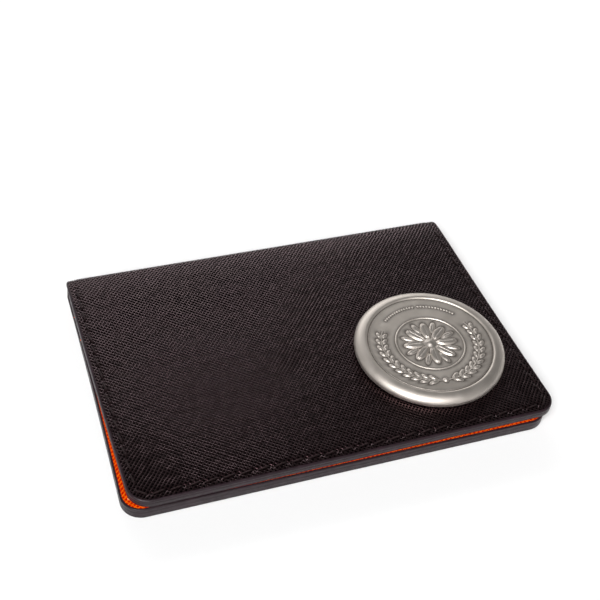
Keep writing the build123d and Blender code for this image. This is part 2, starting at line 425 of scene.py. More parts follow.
def ramp(tree, value, low, high, to_low=0.0, to_high=1.0):
    node = add_node(tree, "MapRange", interpolation_type="SMOOTHSTEP")
    return feed(tree, node, (value, low, high, to_low, to_high))


def noise(tree, vector, scale, detail=3.0):
    return feed(tree, add_node(tree, "TexNoise"), {"Vector": vector, "Scale": scale, "Detail": detail})


def bump(tree, height, distance):
    """A normal from a height, with the distance in millimetres."""
    return feed(tree, add_node(tree, "Bump"), {"Height": height, "Distance": distance * MM, "Strength": 1.0})


def scaled(tree, vector, by):
    return feed(tree, add_node(tree, "VectorMath", operation="SCALE"), {0: vector, "Scale": by})


def stretched(tree, vector, scale, turn=0.0):
    return feed(tree, add_node(tree, "Mapping"), {"Vector": vector, "Scale": scale, "Rotation": (0, 0, turn)})


def uv_mm(tree):
    uv = add_node(tree, "UVMap", uv_map="UVMap").outputs[0]
    split = add_node(tree, "SeparateXYZ")
    feed(tree, split, (uv,))
    return uv, split.outputs[0], split.outputs[1]


def object_point(tree):
    """Position in the piece's own space, in millimetres."""
    return scaled(tree, add_node(tree, "TexCoord").outputs["Object"], 1 / MM)


# ---- materials
HATCH = (-50.0, 40.0)  # headings of the two families of ridges
HATCH_PITCH = 0.8
HATCH_DEPTH = 0.08
WEAVE_PITCH = 0.32


def hatched_leather(name, pit_shade, ridge, rough, tint, patch, gloss, fade, narrow=1.0, step=(0.42, 0.96)):
    """Cross-hatched leather: two families of fine ridges over pits, with fading, wear and colour drift.

    The pits' colour is darker than the ridges': painted shade in the recesses. fade is the least strength of
    each family, narrow thins the ridges, step says where the pits' painted shade turns into the ridges'
    colour, and gloss is the shine of the pits and of the ridges.
    """
    made, t, shader = material(name)
    uv, u, v = uv_mm(t)
    slow = times(t, calc(t, "SUBTRACT", noise(t, uv, 0.05, 2.0), 0.5), 1.6)
    fine = times(t, calc(t, "SUBTRACT", noise(t, uv, 0.4, 2.0), 0.5), 0.5)
    sway = calc(t, "ADD", slow, fine)
    worn = ramp(t, noise(t, uv, 0.55, 2.0), 0.3, 0.7, 0.8, 1.06)
    place = ramp(t, noise(t, uv, 0.022, 2.0), 0.3, 0.7)
    ridges, shares = [], []
    for heading, low, side in zip(HATCH, fade, (place, calc(t, "SUBTRACT", 1.0, place))):
        a = math.radians(heading)
        across = times(t, u, -math.sin(a) / HATCH_PITCH)
        along = times(t, v, math.cos(a) / HATCH_PITCH)
        phase = calc(t, "ADD", calc(t, "ADD", across, along), sway)
        wave = calc(t, "MULTIPLY_ADD", calc(t, "COSINE", times(t, phase, TAU)), 0.5, 0.5)
        shares.append(ramp(t, side, 0.0, 0.5, low, 1.0))
        strength = times(t, shares[-1], worn)
        ridges.append(times(t, calc(t, "POWER", wave, narrow), strength))
    joined = calc(t, "SMOOTH_MAX", *ridges, 0.12)
    thinned = calc(t, "SUBTRACT", 1.0, times(t, *shares))
    evened = calc(t, "MULTIPLY_ADD", thinned, 0.22, joined)
    grain = times(t, noise(t, uv, 2.6), 0.09)
    blotch = ramp(t, noise(t, uv, 0.06), 0.3, 0.7, 1 - patch, 1 + patch)
    feed(t, shader, {
        # the pits get a darker colour, painted shade in the recesses; the ridges get their own colour
        "Base Color": scaled(t, mix(t, ramp(t, evened, *step), pit_shade, ridge), blotch),
        "Roughness": ramp(t, joined, 0.2, 0.9, rough + 0.12, rough),
        "Specular IOR Level": ramp(t, evened, *step, *gloss),
        "Specular Tint": tint,
        "Normal": bump(t, calc(t, "ADD", joined, grain), HATCH_DEPTH),
    })
    return made


def edge_paint(name, colour):
    """Satin edge paint with faint layer lines and rubbed spots."""
    made, t, shader = material(name)
    p = object_point(t)
    rubbed = tuple(c * 1.7 for c in colour)
    lines = noise(t, stretched(t, p, (0.25, 0.25, 3.0)), 1.2)
    feed(t, shader, {
        "Base Color": mix(t, ramp(t, noise(t, p, 0.35, 4.0), 0.35, 0.75), colour, rubbed),
        "Roughness": ramp(t, noise(t, p, 0.9), 0.3, 0.7, 0.3, 0.48),
        "Specular IOR Level": 0.3,
        "Normal": bump(t, calc(t, "ADD", lines, times(t, noise(t, p, 2.4, 2.0), 0.5)), 0.06),
    })
    return made


def waxed_thread(name, colour, dark, rough=0.45, sheen=0.3, tint=(1, 1, 1), gloss=0.5):
    """Twisted waxed thread: slanted plies with fibres between them; the grooves between the plies are painted
    darker, as painted shade.
    """
    made, t, shader = material(name)
    _, u, v = uv_mm(t)
    ply = calc(t, "SINE", times(t, calc(t, "ADD", u, v), 15.0))
    fibre = noise(t, object_point(t), 9.0)
    # the dark colour goes in the grooves between the plies, as painted shade, and partly on random fibres
    level = times(t, ramp(t, ply, -0.8, 0.6), ramp(t, fibre, 0.2, 0.7, 0.6, 1.0))
    feed(t, shader, {
        "Base Color": mix(t, level, dark, colour),
        "Roughness": rough,
        "Sheen Weight": sheen,
        "Specular Tint": tint,
        "Specular IOR Level": gloss,
        "Normal": bump(t, calc(t, "ADD", ply, fibre), 0.05),
    })
    return made


def plain(name, colour, rough, grain=2.0, depth=0.02, drift=0.15):
    """A simple material with grain, drift of colour and uneven roughness."""
    made, t, shader = material(name)
    p = object_point(t)
    low, high = (tuple(min(1.0, c * (1 + way * drift)) for c in colour) for way in (-1, 1))
    feed(t, shader, {
        "Base Color": mix(t, ramp(t, noise(t, p, 0.2), 0.3, 0.7), low, high),
        "Roughness": ramp(t, noise(t, p, 1.1, 2.0), 0.3, 0.7, rough - 0.06, rough + 0.08),
        "Normal": bump(t, noise(t, p, grain, 4.0), depth),
    })
    return made


def woven(name, colour):
    made, t, shader = material(name)
    _, u, v = uv_mm(t)
    waves = [calc(t, "SINE", times(t, way, TAU / WEAVE_PITCH)) for way in (u, v)]
    weave = times(t, *waves)
    feed(t, shader, {
        # the low parts of the weave get half the colour: painted shade between the threads
        "Base Color": mix(t, ramp(t, weave, -0.8, 0.8), tuple(c * 0.5 for c in colour), colour),
        "Roughness": 0.85,
        "Normal": bump(t, weave, 0.04),
    })
    return made


def pewter(name):
    """Aged cast pewter: smoother high spots painted darker, a painted shade that dims their highlights; dark
    patina in the recesses; fine scratches.
    """
    made, t, shader = material(name)
    tone = add_node(t, "Attribute", attribute_name="tone").outputs["Fac"]
    p = object_point(t)
    cloud = noise(t, p, 0.28, 5.0)
    base = mix(t, ramp(t, cloud, 0.3, 0.7), (0.655, 0.598, 0.542), (0.715, 0.655, 0.598))
    # the raised tops and the rim's dome get a darker colour: painted shade that dims their highlights
    worn = mix(t, ramp(t, tone, 0.1, 1.0), base, (0.53, 0.485, 0.445))
    patchy = ramp(t, noise(t, p, 2.6, 4.0), 0.2, 0.6, 0.75, 1.0)
    dirt = times(t, ramp(t, tone, -0.05, -1.0), patchy)
    scratches = ramp(t, noise(t, stretched(t, p, (6.0, 0.35, 1.0), 0.6), 1.0, 2.0), 0.62, 0.75)
    grain = times(t, noise(t, p, 4.5), ramp(t, tone, 0.6, 0.0))
    feed(t, shader, {
        "Base Color": mix(t, dirt, worn, (0.085, 0.072, 0.062)),
        "Metallic": ramp(t, dirt, 0.0, 1.0, 1.0, 0.55),
        "Roughness": calc(t, "ADD", ramp(t, tone, 0.0, 0.8, 0.5, 0.48),
                          ramp(t, cloud, 0.3, 0.7, -0.02, 0.03)),
        "Normal": bump(t, calc(t, "SUBTRACT", grain, times(t, scratches, 0.12)), 0.035),
    })
    return made


def clear_film(name):
    made, t, out = blank(name)
    through = feed(t, add_node(t, "BsdfTransparent"), {"Color": (0.985, 0.985, 0.985)})
    wave = bump(t, noise(t, object_point(t), 0.12, 2.0), 0.15)
    gloss = feed(t, add_node(t, "BsdfGlossy"), {"Roughness": 0.08, "Normal": wave})
    mirror = feed(t, add_node(t, "Fresnel"), {"IOR": 1.45})
    outside = calc(t, "SUBTRACT", 1.0, add_node(t, "NewGeometry").outputs["Backfacing"])
    both = feed(t, add_node(t, "MixShader"), (times(t, mirror, outside), through, gloss))
    feed(t, out, {"Surface": both})
    return made


# The first colour of each leather is its pits' painted shade, the second its ridges' own colour.
DARK = hatched_leather("dark_leather", (0.0006, 0.0004, 0.0004), (0.0052, 0.0027, 0.0029), 0.25,
                       tint=(1.0, 0.58, 0.64), patch=0.07, gloss=(0.0, 0.74), fade=(1.0, 0.62), narrow=1.5,
                       step=(0.34, 0.86))
ORANGE = hatched_leather("orange_leather", (0.46, 0.0055, 0.0001), (0.78, 0.115, 0.001), 0.46,
                         tint=(1.0, 0.6, 0.3), patch=0.04, gloss=(0.0, 0.09), fade=(0.55, 0.55))
PAINT = edge_paint("edge_paint", (0.0125, 0.006, 0.0085))
MOUTH_PAINT = edge_paint("mouth_paint", (0.13, 0.010, 0.003))
# The second colour of each thread is the painted shade in the grooves between its plies.
DARK_THREAD = waxed_thread("dark_thread", (0.0045, 0.0028, 0.0028), (0.0015, 0.001, 0.001),
                           rough=0.42, sheen=0.0, tint=(1.0, 0.6, 0.64), gloss=0.4)
PALE_THREAD = waxed_thread("pale_thread", (0.95, 0.52, 0.18), (0.55, 0.19, 0.03))
PEWTER = pewter("pewter")
FILM = clear_film("clear_film")
CARD_STOCK = plain("card_stock", (0.92, 0.915, 0.90), 0.6, grain=5.0, depth=0.012, drift=0.02)
BOARD = plain("board", (0.32, 0.27, 0.2), 0.85)
FABRIC = woven("pocket_fabric", (0.3, 0.05, 0.01))
GLUE = plain("adhesive", (0.02, 0.018, 0.018), 0.7)
NAME_INK = plain("blue_ink", (0.22, 0.22, 0.45), 0.7)
LINE_INK = plain("grey_ink", (0.50, 0.44, 0.50), 0.7)
EMBLEM_INK = plain("pale_ink", (0.64, 0.64, 0.68), 0.7)


# ---- spine
def spine_line():
    """Side view of the outer face up to mid spine: points, outward directions, lengths."""
    flat_y = np.linspace(SOFT_END, BEND_Y, 5)[:-1]
    turn = np.radians(np.linspace(-90, 0, 15))
    bend = np.column_stack([BEND_Y + BEND * np.cos(turn), BEND + BEND * np.sin(turn)])
    points = np.vstack([np.column_stack([flat_y, 0 * flat_y]), bend])
    points[:, 1] += fold_drop(points[:, 0])
    wall_z = np.linspace(points[-1, 1], MID_Z, 4)[1:]
    points = np.vstack([points, [(FAR, z) for z in wall_z]])
    step = np.gradient(points, axis=0)
    step /= np.hypot(*step.T)[:, None]
    step[-len(wall_z):] = (0.0, 1.0)
    out = np.column_stack([step[:, 1], -step[:, 0]])
    share = np.clip((points[:, :1] - SOFT_END) / (BEND_Y - SOFT_END), 0, 1)
    out = share * out + (1 - share) * (0.0, -1.0)
    out /= np.hypot(*out.T)[:, None]
    return points, out, run_length(points)


def opened(points, depth):
    """The lower half of the spine's line with the hinge fully open."""
    start, end = np.array([BEND_Y, depth]), np.array([FAR - depth, BEND])
    share = smooth((points - start) @ (end - start) / ((end - start) @ (end - start)))
    c, s = np.cos(share * OPENING), np.sin(share * OPENING)
    y, z = (points - PIVOT).T
    return PIVOT + np.column_stack([y * c + z * s, z * c - y * s])


def spine_at(depth):
    """Y and Z of the spine's lower half at a depth below the outer face."""
    y, z = LINE[:, :1], LINE[:, 1:]
    thinned = fold_drop(y) * (1 - kept_drop(depth)) * (1 - smooth((y - BEND_Y) / BEND))
    return y - LINE_OUT[:, :1] * depth, z - LINE_OUT[:, 1:] * depth - thinned


LINE, LINE_OUT, LINE_LENGTH = spine_line()
LINED_LENGTH = run_length(opened(np.hstack(spine_at(LINED)), LINED - LINING / 2))
SPINE_X = np.concatenate([[-(HALF - r) for r in RINGS], NEAR_X, [HALF - r for r in reversed(RINGS)]])
SPINE_EDGE = HALF - np.abs(SPINE_X)


def across_spine(y, length):
    """Flat leather coordinate of a point on the cover, counted on over the spine."""
    return 2 * length[-1] + 2 * SOFT_END - y


def spine_grid(depth):
    """Points of the spine's lower half at a depth for each column."""
    y, z = spine_at(np.broadcast_to(depth, (len(LINE), len(SPINE_X))))
    return grid(SPINE_X * fold_pull(y), y, z)


def mirrored(points):
    """The upper half of the spine, from its lower half."""
    out = points.copy()
    out[..., 2] = HEIGHT - out[..., 2]
    return out


def bend_piece(obj, upper):
    """Bakes a spine piece's transform into its mesh, the same way for the upper and the lower piece."""
    if upper:
        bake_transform(obj)
    else:
        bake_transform(obj)


def spine_pair(name, inner, outer, look, length, node):
    """Both halves of one spine layer, which meet in the middle of the spine."""
    x, along = np.broadcast_arrays(SPINE_X, SOFT_END + length[:, None])
    lower = sheet(f"{name}_lower", inner, outer, look, uv=np.stack([x, along], 2))
    upper = sheet(f"{name}_upper", mirrored(inner), mirrored(outer), look,
                  uv=np.stack([x, across_spine(along, length)], 2))
    for obj in (lower, upper):
        bend_piece(obj, obj is upper)
    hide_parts(node)


# ---- outer leather
def outer_skin(body, facing, warp):
    """The outer leather of one half, which faces up (+1) or down (-1)."""
    xy, d, faces = half_panel(SOFT_END)
    depth = edge_depth(d, **OUTER_FACE) + hole_depth(*xy.T)
    if facing > 0:
        top, bottom, v = HEIGHT - depth, COVER_INNER + TUCK, across_spine(xy[:, 1], LINE_LENGTH)
    else:
        top, bottom, v = LEATHER - TUCK, depth, xy[:, 1]
    obj = slab(f"{body}_leather_skin", xy, faces, top, bottom, DARK, warp, np.column_stack([xy[:, 0], v]))
    settle(obj, body, f"{body}_outer_leather")


def make_outer_leather():
    outer_skin("back", -1, warp_back)
    outer_skin("cover", 1, warp_cover)
    outer = spine_grid(edge_depth(SPINE_EDGE, **OUTER_FACE))
    spine_pair("spine_leather_skin", spine_grid(LEATHER - TUCK), outer, DARK, LINE_LENGTH,
               "spine_outer_leather")


# ---- faces inside the back and cover
def mouth(x, level):
    """Y of a pocket's mouth: level at the sides, with one shallow dip in the middle."""
    t = np.clip(np.abs(x) / DIP_HALF, 0, 1)
    return level - DIP * (1 - smooth(t)) - 0.5 * smooth((np.abs(x) - 38) / 16)


def front_face(x, y):
    """Height of the front pocket's face, which eases down to its mouth."""
    return FRONT_TOP - 0.42 * smooth((y - mouth(x, FRONT_MOUTH) + 16) / 16)


def rear_face(x, y):
    return REAR_TOP - 0.12 - 0.38 * smooth((y - mouth(x, REAR_MOUTH) + 14) / 14)


def lining_face(y):
    """Height of the back's lining face, which eases down past the board."""
    return BACK_LINING - (BACK_LINING - LINED) * smooth((y - 29.0) / 4.0)


def past(away):
    """0 before an edge and 1 after it, with a short slope."""
    return smooth((away + 0.2) / 0.5)


def back_low_at(x, y):
    return 0.0 * x


def back_top_at(x, y):
    """Height of the highest layer inside the back."""
    step = past(y - mouth(x, FRONT_MOUTH))
    z = front_face(x, y) * (1 - step) + rear_face(x, y) * step
    step = past(y - mouth(x, REAR_MOUTH))
    return z * (1 - step) + lining_face(y) * step


def cover_low_at(x, y):
    """Height of the lowest layer inside the cover."""
    step = past(y - PANEL_END)
    return PANEL_LOW * (1 - step) + (HEIGHT - lining_face(y)) * step


def cover_top_at(x, y):
    return HEIGHT + 0.0 * x


# ---- inner leather
def make_front_pocket():
    xy, d, faces = half_panel(FRONT_MOUTH)
    start = NEAR + CORNER
    share = np.clip((xy[:, 1] - start) / (FRONT_MOUTH - start), 0, None)
    end = mouth(xy[:, 0], FRONT_MOUTH)
    xy[:, 1] = np.where(xy[:, 1] > start, start + share * (end - start), xy[:, 1])
    stitches = [s for s in STITCHES if s[1] + STITCH / 2 < mouth(s[0], FRONT_MOUTH)]
    face = front_face(*xy.T)
    press = edge_depth(d, **INNER_FACE) + hole_depth(*xy.T, stitches) + lip_depth(end - xy[:, 1])
    obj = slab("front_pocket_skin", xy, faces, face - press, face - (FRONT_TOP - FRONT_LOW) + TUCK, ORANGE,
               warp_back, xy)
    settle(obj, "back", "front_pocket_leather")


def make_rear_pocket():
    start = REAR_START + 4
    end = mouth(SPINE_X, REAR_MOUTH)
    x, y = np.broadcast_arrays(SPINE_X, start + np.linspace(0, 1, 46)[:, None] * (end - start))
    face = rear_face(x, y)
    press = edge_depth(HALF - np.abs(x), **INNER_FACE) + hole_depth(x, y) + lip_depth(end - y)
    low = face - (REAR_TOP - REAR_LOW) + 2 * TUCK
    obj = sheet("rear_pocket_skin", grid(x, y, face - press), grid(x, y, low), ORANGE, warp_back)
    settle(obj, "back", "rear_pocket_leather")


def cut_edge(name, body, x, y, z, wide, tall, points, warp):
    """The painted cut edge of a leather piece, along a line."""
    slope = np.gradient(y, x)
    run = np.hypot(1, slope)
    out = wide * np.cos(circle(points))
    rings = grid(x[:, None] - (slope / run)[:, None] * out, y[:, None] + out / run[:, None],
                 z[:, None] + tall * np.sin(circle(points)))
    settle(sweep(name, rings, MOUTH_PAINT, warp), body)


def make_mouth_edge(name, level, face, thick):
    x = np.linspace(-(HALF - 0.3), HALF - 0.3, 220)
    y = mouth(x, level)
    z = face(x, y) - thick / 2 - edge_depth(HALF - np.abs(x), **INNER_FACE)
    cut_edge(name, "back", x, y, z, 0.24, thick / 2 + TUCK, 12, warp_back)


def lining_half(body, start, upper, warp):
    """The lining's flat part on one half, up to the spine."""
    rows = max(26, round((SOFT_END - start) / 0.8))
    x, y = np.meshgrid(SPINE_X, np.linspace(start, SOFT_END, rows))
    press = edge_depth(HALF - np.abs(x), **INNER_FACE) + hole_depth(x, y)
    face = lining_face(y)
    if upper:
        press += 0.03 * smooth((SOFT_END - y) / 4)
        top, bottom, v = HEIGHT - face + LINING, HEIGHT - face + press, across_spine(y, LINED_LENGTH)
    else:
        top, bottom, v = face - press, face - LINING, y
    obj = sheet(f"{body}_lining_skin", grid(x, y, top), grid(x, y, bottom), ORANGE, warp, np.stack([x, v], 2))
    settle(obj, body, f"{body}_lining")


def make_lining():
    """The lining: a flat part on each half and two bent parts round the spine."""
    lining_half("back", mouth(0, REAR_MOUTH) - 8, False, warp_back)
    lining_half("cover", NEAR + CORNER, True, warp_cover)
    shown = spine_grid(LINED - edge_depth(SPINE_EDGE, **INNER_FACE))
    spine_pair("spine_lining_skin", shown, spine_grid(LEATHER), ORANGE, LINED_LENGTH,
               "spine_lining")


# ---- window panel
QUARTER = 17  # points of each rounded corner of the window
GROWS = [3.5, 2.2, 1.3, 0.8, 0.5, 0.3, 0.15, 0.05, 0.0]  # rings round the window
PANEL_COUNTS = [len(NEAR_X) - 1, len(side_y(PANEL_END)) - 1] * 2


def resampled(run, count):
    """Evenly spaced points along a line, without its last."""
    length = run_length(run)
    s = np.linspace(0, length[-1], count, endpoint=False)
    return np.column_stack([np.interp(s, length, run[:, 0]), np.interp(s, length, run[:, 1])])


def window_loop(grow):
    """The window's outline, grown by a distance, with the points per side of the panel's core."""
    x0, y0 = FILM_LOW[0] + FILM_LAP - grow, FILM_LOW[1] + FILM_LAP - grow
    x1, y1 = FILM_HIGH[0] - FILM_LAP + grow, FILM_HIGH[1] - FILM_LAP + grow
    r = WINDOW_RADIUS + grow
    corners = []
    centres = (x0 + r, y0 + r), (x1 - r, y0 + r), (x1 - r, y1 - r), (x0 + r, y1 - r)
    for (x, y), start in zip(centres, (180, 270, 0, 90)):
        a = math.radians(start) + np.linspace(0, math.pi / 2, QUARTER)
        corners.append(np.column_stack([x + r * np.cos(a), y + r * np.sin(a)]))
    outline = np.vstack(corners)
    starts = [QUARTER // 2 + QUARTER * k for k in range(4)]
    sides = [outline.take(range(i, i + QUARTER + 1), axis=0, mode="wrap") for i in starts]
    return np.vstack([resampled(side, count) for side, count in zip(sides, PANEL_COUNTS)])


def panel_mesh():
    """Flat mesh of the window panel: points, distances from its edges and its window, faces."""
    paths = [u_path(d, PANEL_END) for d in RINGS]
    x, y0, y1 = HALF - CORNER, NEAR + CORNER, PANEL_END
    corners = np.array([(-x, y0), (x, y0), (x, y1), (-x, y1), (-x, y0)])
    core = np.vstack([resampled(corners[k:k + 2], count) for k, count in enumerate(PANEL_COUNTS)])
    loops = [core] + [window_loop(grow) for grow in GROWS]
    n, m = len(paths[0]), len(core)
    base = n * len(RINGS)
    near, sides = PANEL_COUNTS[:2]
    left = [*range(base + m - sides, base + m), base]
    right = range(base + near, base + near + sides + 1)
    faces = rim_faces(n, left, range(base, base + near + 1), right)
    for a in range(base, base + m * len(GROWS), m):
        faces += [(a + i, a + (i + 1) % m, a + m + (i + 1) % m, a + m + i) for i in range(m)]
    edge = np.concatenate([np.repeat(RINGS, n), np.full(m, CORNER), np.full(m * len(GROWS), CORNER + 3.0)])
    hole = np.concatenate([np.full(base + m, 9.0), np.repeat(GROWS, m)])
    return np.vstack(paths + loops), edge, hole, faces


def make_window_panel():
    xy, edge, hole, faces = panel_mesh()
    stitches = [s for s in STITCHES if s[1] + STITCH / 2 < PANEL_END]
    lip = PANEL_END - xy[:, 1]
    press = edge_depth(edge, **INNER_FACE) + hole_depth(*xy.T, stitches) + lip_depth(lip)
    press += 0.22 * smooth(1 - hole / 0.35) + 0.08 * smooth(1 - hole / 2.5)
    ease = 0.12 * smooth(1 - lip / 5.0)
    v = across_spine(xy[:, 1], LINED_LENGTH)
    obj = slab("window_panel_skin", xy, faces, PANEL_TOP - TUCK + ease, PANEL_LOW + press + ease, ORANGE,
               warp_cover, np.column_stack([xy[:, 0], v]))
    settle(obj, "cover", "window_panel")


def make_panel_edges():
    middle, tall = (PANEL_LOW + PANEL_TOP) / 2, (PANEL_TOP - PANEL_LOW) / 2 - 0.1
    loops = [(window_loop(-0.1 * math.cos(a)), middle + 0.08 + tall * math.sin(a)) for a in circle(10)]
    rings = np.stack([np.column_stack([loop, np.full(len(loop), z)]) for loop, z in loops], axis=1)
    settle(sweep("window_cut_edge", rings, MOUTH_PAINT, warp_cover, closed=True), "cover")
    x = np.linspace(-(HALF - 0.3), HALF - 0.3, 160)
    z = middle + 0.12 + edge_depth(HALF - np.abs(x), **INNER_FACE) * 0.6
    cut_edge("window_panel_inner_edge", "cover", x, np.full(len(x), PANEL_END), z, 0.17, 0.27, 10, warp_cover)


def make_film():
    x, y = np.meshgrid(np.linspace(FILM_LOW[0], FILM_HIGH[0], 60), np.linspace(FILM_LOW[1], FILM_HIGH[1], 42))
    ripple = 0.012 * np.sin(x * 0.21 + 1.3) * np.sin(y * 0.17 + x * 0.05)
    low, high = FILM_LOW[2] + 0.02, FILM_HIGH[2] - 0.01
    obj = sheet("window_film_skin", grid(x, y, high + ripple), grid(x, y, low + ripple), FILM, warp_cover)
    settle(obj, "cover", "window_film")


# ---- card
CARD_X, CARD_Y, _ = ((a + b) / 2 for a, b in zip(CARD_LOW, CARD_HIGH))
CARD_FACE = CARD_LOW[2] + CARD_PLAY
INK_IN, INK_OUT = CARD_FACE + 0.02, CARD_FACE - 0.012  # the two faces of a printed mark


def dashes(y, half_width, height):
    """Corners of a centred line of plain word-like dashes."""
    marks, x = [], -half_width
    while x < half_width - 1.2:
        wide = min(rng.uniform(2.2, 6.5), half_width - x)
        marks.append((x, x + wide, y - height / 2, y + height / 2))
        x += wide + 1.0
    return marks


def print_marks(name, marks, ink):
    verts, faces = [], []
    for x0, x1, y0, y1 in marks:
        b = len(verts)
        for z in (INK_IN, INK_OUT):
            verts += [(CARD_X + x, CARD_Y - y, z) for x, y in ((x0, y0), (x1, y0), (x1, y1), (x0, y1))]
        faces += [(b, b + 1, b + 2, b + 3), (b + 7, b + 6, b + 5, b + 4)]
        faces += [(b + k, b + 4 + k, b + 4 + (k + 1) % 4, b + (k + 1) % 4) for k in range(4)]
    verts = np.array(verts)
    settle(add_mesh(name, warp_cover(verts), faces, ink, verts[:, :2], sharp=20), "card")


def make_card():
    x, y = np.meshgrid(np.linspace(CARD_LOW[0], CARD_HIGH[0], 48), np.linspace(CARD_LOW[1], CARD_HIGH[1], 32))
    top, bottom = grid(x, y, CARD_HIGH[2] - CARD_PLAY), grid(x, y, CARD_FACE)
    settle(sheet("card_sheet", top, bottom, CARD_STOCK, warp_cover), "card", "display_card")
    print_marks("card_print_name", dashes(9.6, 12.0, 1.5), NAME_INK)
    lines = []
    for y_line, half in ((5.6, 17.0), (2.0, 13.5), (-1.7, 15.0), (-5.4, 12.2)):
        lines += dashes(y_line, half, 1.0)
    print_marks("card_print_lines", lines + dashes(-23.2, 40.5, 0.9), LINE_INK)
    r, z = np.array([4.1, 4.1, 3.2, 3.2]), [INK_IN, INK_OUT, INK_OUT, INK_IN]
    a = circle(40)[:, None]
    ring = grid(CARD_X + r * np.cos(a), CARD_Y - 19.5 + r * np.sin(a), z)
    settle(sweep("card_print_ring", ring, EMBLEM_INK, warp_cover, closed=True), "card")


# ---- hidden layers and painted edges
LIP_D = np.array([0.5, 0.34, 0.2, 0.09, 0.02, 0.0])
COAT_OVER = 0.02  # how far the paint stands over the leather


def make_core(name, node, body, look, warp):
    """A hidden flat layer of one half, with rounded corners at the opening edge."""
    low, high = box(node)
    turn, r = np.linspace(0, math.pi / 2, 9), CORNER - (HALF - high[0])
    y = np.append(low[1] + r * (1 - np.cos(turn)), np.linspace(low[1] + r, high[1], 44)[1:])[:, None]
    cut = r - np.sqrt(r**2 - np.clip(r - y + low[1], 0, r) ** 2)
    x = (low[0] + high[0]) / 2 + ((high[0] - low[0]) / 2 - cut) * np.linspace(-1, 1, 61)
    settle(sheet(name, grid(x, y, high[2]), grid(x, y, low[2]), look, warp), body, node)


def band_section(low, high, low_face, high_face, layers=()):
    """Distances and heights round a painted edge's section, dented where layers meet."""
    down = edge_depth(LIP_D, **low_face) - COAT_OVER
    up = edge_depth(LIP_D, **high_face) - COAT_OVER
    wall = np.linspace(low + down[-1], high - up[-1], 16)[1:-1]
    side = 0.02 - 0.04 * np.sin(np.linspace(0, math.pi, len(wall)))
    for z in layers:
        side += 0.05 * np.exp(-(((wall - z) / 0.07) ** 2))
    return np.concatenate([LIP_D, side, LIP_D[::-1]]), np.concatenate([low + down, wall, (high - up)[::-1]])


def edge_band(body, low_at, high_at, low_face, high_face, layers, warp):
    outline = u_path(0.0, SOFT_END)
    inward = u_path(1.0, SOFT_END) - outline
    rings = []
    for p, n in zip(outline, inward):
        d, z = band_section(low_at(*p), high_at(*p), low_face, high_face, layers)
        rings.append(np.column_stack([p + d[:, None] * n, z]))
    settle(sweep(f"{body}_edge_paint", np.array(rings), PAINT, warp), body, f"{body}_edge_coat")


def make_spine_edges():
    d, depth = band_section(0.0, LINED, OUTER_FACE, INNER_FACE)
    y, z = spine_at(depth)
    for end in ("lower", "upper"):
        parts = []
        for side in (-1, 1):
            rings = grid(side * (HALF - d) * fold_pull(y), y, z if end == "lower" else HEIGHT - z)
            if (side > 0) == (end == "lower"):
                rings = rings[::-1]
            parts.append((rings.reshape(-1, 3), tube_faces(*rings.shape[:2])))
        verts, faces = join_meshes(parts)
        obj = add_mesh(f"spine_edge_paint_{end}", verts, faces, PAINT, verts[:, :2])
        bend_piece(obj, end == "upper")
        if end == "lower":
            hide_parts("spine_edge_coat")


# ---- stitching
THREAD = 0.22  # radius of the thread
THREAD_POINTS = 8


def thread_mesh(stitches, face_at, press, facing, radius, lift):
    """Short twisted threads in the seam of a face that looks up (+1) or down (-1)."""
    u = np.linspace(-1, 1, 11)
    angles = circle(THREAD_POINTS)
    thick = (radius * (1 - 0.25 * u**4))[:, None]
    rise = facing * (lift - press - 0.42 * u**6 + 0.03 * np.sin(u * 3))
    parts = []
    for x, y, heading in stitches:
        c, s = math.cos(heading), math.sin(heading)
        slant = SLANT + rng.normal(0, 0.04)
        off = u * slant + rng.normal(0, 0.03)
        line_x = x + u * STITCH / 2 * c - off * s
        line_y = y + u * STITCH / 2 * s + off * c
        level = face_at(line_x, line_y) + rise
        side = 1.05 * thick * np.cos(angles)
        rings = grid(line_x[:, None] - side * s, line_y[:, None] + side * c,
                     level[:, None] + 0.8 * thick * np.sin(angles))
        parts.append((rings.reshape(-1, 3), tube_faces(len(u), THREAD_POINTS)))
    return join_meshes(parts)


def add_threads(body, layer, verts, faces, warp=unwarped):
    look = DARK_THREAD if layer == "outer" else PALE_THREAD
    obj = add_mesh(f"{body}_{layer}_thread", warp(verts), faces, look, verts[:, :2] + verts[:, 2:], sharp=60)
    settle(obj, body, f"{body}_{layer}_stitching")


def make_stitching():
    for body, layer, face_at, facing, lift, warp in (
        ("back", "outer", back_low_at, -1, 0.02, warp_back),
        ("cover", "outer", cover_top_at, 1, 0.02, warp_cover),
        ("back", "inner", back_top_at, 1, 0.1, warp_back),
        ("cover", "inner", cover_low_at, -1, 0.1, warp_cover),
    ):
        press = edge_depth(SEAM, **(OUTER_FACE if layer == "outer" else INNER_FACE), groove=0.0)
        add_threads(body, layer, *thread_mesh(STITCHES, face_at, press, facing, THREAD, lift), warp)


def make_spine_stitching():
    """One upright stitch at each end of the spine, outside and inside."""
    for layer, depth, sign in (("outer", 0.1, 1), ("inner", LINED - TUCK, -1)):
        parts = []
        for side in (-1, 1):
            verts, faces = thread_mesh([(0.0, 0.0, 0.0)], back_low_at, 0, 1, THREAD + 0.02, 0.05)
            x = side * (HALF - SEAM) * fold_pull(FAR) + verts[:, 1]
            y, z = FAR - depth + sign * verts[:, 2], MID_Z + verts[:, 0] * 0.86
            parts.append((np.column_stack([x, y, z]), faces))
        add_threads("spine", layer, *join_meshes(parts))


# ---- medallion
FIELD_R = 15.5
FIELD_Z = 2.5
MEDAL_POINTS = 560
SPRIG_R = 12.3
BEAD_R = 12.9


def on_circle(radius, degrees):
    return radius * math.cos(math.radians(degrees)), radius * math.sin(math.radians(degrees))


